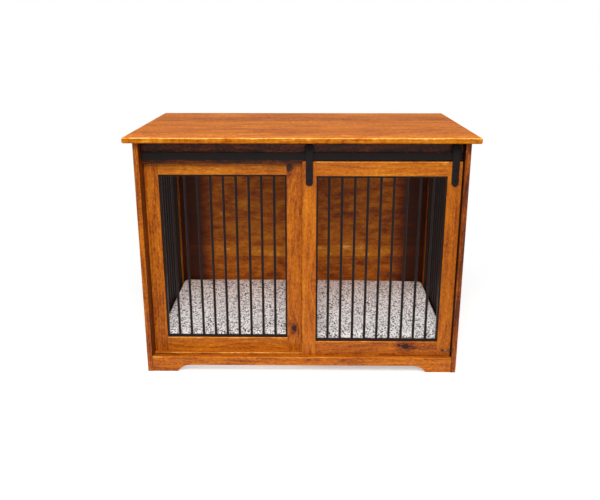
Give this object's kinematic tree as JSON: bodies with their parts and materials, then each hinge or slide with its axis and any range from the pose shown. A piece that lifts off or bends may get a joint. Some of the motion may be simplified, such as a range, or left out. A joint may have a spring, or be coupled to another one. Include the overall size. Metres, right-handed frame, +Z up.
{
  "type": "dog crate end table",
  "caption": "Wooden crate end table for a dog, with open steel grilles, a barn door rolling on a flat track, a hook latch and a fabric pad on its floor.",
  "frame": {"origin": "on the floor, under the middle of the table top", "axes": "+X along the front to the right, +Y from front to back, +Z up"},
  "size_m": [1.22, 0.763, 0.886],
  "materials": {
    "table_top_wood": "satin clear coat over warm orange-brown stain, grain along the length",
    "stained_wood": "satin clear coat over orange-brown stain, grain along each board",
    "inner_wood": "satin stained wood, a little redder and darker than the face",
    "black_steel": "satin black powder coat",
    "latch_wire": "dark plated wire",
    "tweed": "speckled grey, white and black tweed"
  },
  "bodies": {
    "cabinet": {"table_top": "table_top_wood", "left_front_stile": "stained_wood", "left_rear_stile": "stained_wood", "left_top_rail": "stained_wood", "left_bottom_rail": "stained_wood", "right_front_stile": "stained_wood", "right_rear_stile": "stained_wood", "right_top_rail": "stained_wood", "right_bottom_rail": "stained_wood", "fixed_left_stile": "stained_wood", "fixed_right_stile": "stained_wood", "fixed_top_rail": "stained_wood", "fixed_bottom_rail": "stained_wood", "base_board": "stained_wood", "bottom_front_rail": "stained_wood", "header_board": "inner_wood", "back_panel": "inner_wood", "floor_panel": "inner_wood", "floor_cleat_front": "inner_wood", "floor_cleat_back": "inner_wood", "floor_cleat_left": "inner_wood", "floor_cleat_right": "inner_wood", "floor_bearer": "inner_wood", "top_cleat_left": "inner_wood", "top_cleat_right": "inner_wood", "left_grille": "black_steel", "right_grille": "black_steel", "fixed_grille": "black_steel", "track_bar": "black_steel", "track_spacer_1": "black_steel", "track_spacer_2": "black_steel", "track_spacer_3": "black_steel", "track_spacer_4": "black_steel", "track_bolt_1": "black_steel", "track_bolt_2": "black_steel", "track_bolt_3": "black_steel", "track_bolt_4": "black_steel", "latch_side_eye": "latch_wire", "floor_pad": "tweed"},
    "door": {"door_left_stile": "stained_wood", "door_right_stile": "stained_wood", "door_top_rail": "stained_wood", "door_bottom_rail": "stained_wood", "door_grille": "black_steel", "left_hanger_strap": "black_steel", "left_axle_bolt": "black_steel", "left_axle_nut": "black_steel", "left_upper_hanger_bolt": "black_steel", "left_lower_hanger_bolt": "black_steel", "right_hanger_strap": "black_steel", "right_axle_bolt": "black_steel", "right_axle_nut": "black_steel", "right_upper_hanger_bolt": "black_steel", "right_lower_hanger_bolt": "black_steel", "latch_door_eye": "latch_wire"},
    "left_wheel": {"left_wheel": "black_steel"},
    "right_wheel": {"right_wheel": "black_steel"},
    "hook": {"latch_hook": "latch_wire"}
  },
  "joints": [
    {"name": "door_slide", "type": "slide", "parent": "cabinet", "child": "door", "axis": [-1, 0, 0], "range_m": [0, 0.556]},
    {"name": "left_wheel_roll", "type": "hinge", "parent": "door", "child": "left_wheel", "pos_m": [0.027, -0.3236, 0.8413], "axis": [0, -1, 0], "range_deg": [0, 2452]},
    {"name": "right_wheel_roll", "type": "hinge", "parent": "door", "child": "right_wheel", "pos_m": [0.535, -0.3236, 0.8413], "axis": [0, -1, 0], "range_deg": [0, 2452]},
    {"name": "hook_swing", "type": "hinge", "parent": "door", "child": "hook", "pos_m": [0.529, -0.34425, 0.086], "axis": [0, 0, -1], "range_deg": [-12, 150]}
  ],
  "couplings": [
    {"joint": "left_wheel_roll", "follows": "door_slide", "rad_per_m": 76.923},
    {"joint": "right_wheel_roll", "follows": "door_slide", "rad_per_m": 76.923}
  ]
}
